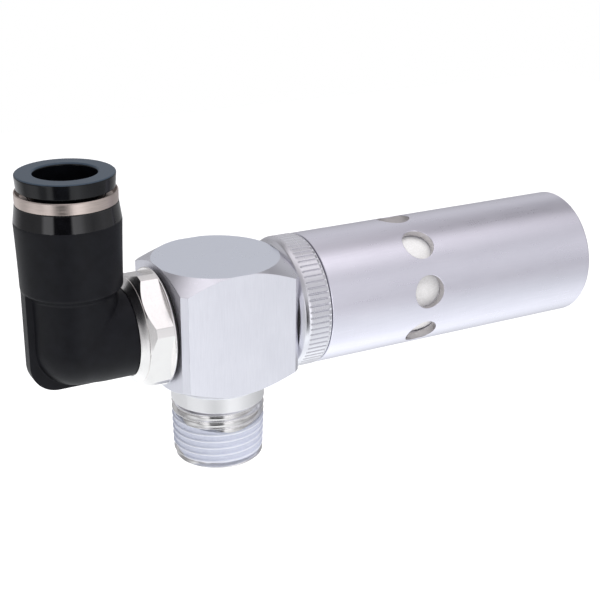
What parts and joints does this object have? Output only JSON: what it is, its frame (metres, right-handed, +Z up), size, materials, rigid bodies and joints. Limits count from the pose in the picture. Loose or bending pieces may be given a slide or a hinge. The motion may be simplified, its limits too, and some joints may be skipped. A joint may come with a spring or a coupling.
{
  "type": "vacuum ejector",
  "caption": "Inline vacuum ejector: machined block with a male vacuum thread, swivelling push-in elbow for the air supply and a long turned silencer with exhaust holes.",
  "frame": {"origin": "on the vacuum thread's axis, at the shoulder where the thread starts", "axes": "+Z up the vacuum thread's axis into the block, so the thread points down; +X along the air flow, from the elbow to the silencer, 15.7 mm above the origin; +Y away from the viewer"},
  "size_m": [0.1106, 0.0244, 0.0566],
  "materials": {
    "block_aluminium": "satin",
    "tube_aluminium": "satin",
    "ring_aluminium": "satin",
    "brass": "satin",
    "nickel_plate": "polished",
    "sleeve_metal": "polished",
    "release_ring_finish": "satin",
    "black_plastic": "matte",
    "cartridge_plastic": "matte",
    "black_rubber": "matte",
    "spring_steel": "satin",
    "porous_plastic": "matte"
  },
  "bodies": {
    "ejector": {"ejector_block": "block_aluminium", "jet_nozzle": "brass", "nozzle_o_ring": "black_rubber", "diffuser": "brass", "diffuser_o_ring": "black_rubber", "knurled_ring": "ring_aluminium", "ring_o_ring": "black_rubber", "silencer_gasket": "black_rubber", "silencer_tube": "tube_aluminium", "silencer_element": "porous_plastic", "element_washers": "black_rubber", "end_cap": "ring_aluminium", "inlet_stud": "nickel_plate", "stud_seal": "black_rubber", "swivel_o_ring": "black_rubber"},
    "elbow": {"elbow_body": "black_plastic", "swivel_clip": "spring_steel", "tube_seal": "black_rubber", "claw_ring": "cartridge_plastic", "lock_claw": "spring_steel", "guide_sleeve": "sleeve_metal"},
    "release_collar": {"release_ring": "release_ring_finish"}
  },
  "joints": [
    {"name": "elbow_swivel", "type": "hinge", "parent": "ejector", "child": "elbow", "pos_m": [-0.0175, 0, 0.0157], "axis": [1, 0, 0], "continuous": true},
    {"name": "release_press", "type": "slide", "parent": "elbow", "child": "release_collar", "axis": [0, 0, -1], "range_m": [0, 0.0007], "stiffness_N_per_m": 3000}
  ]
}
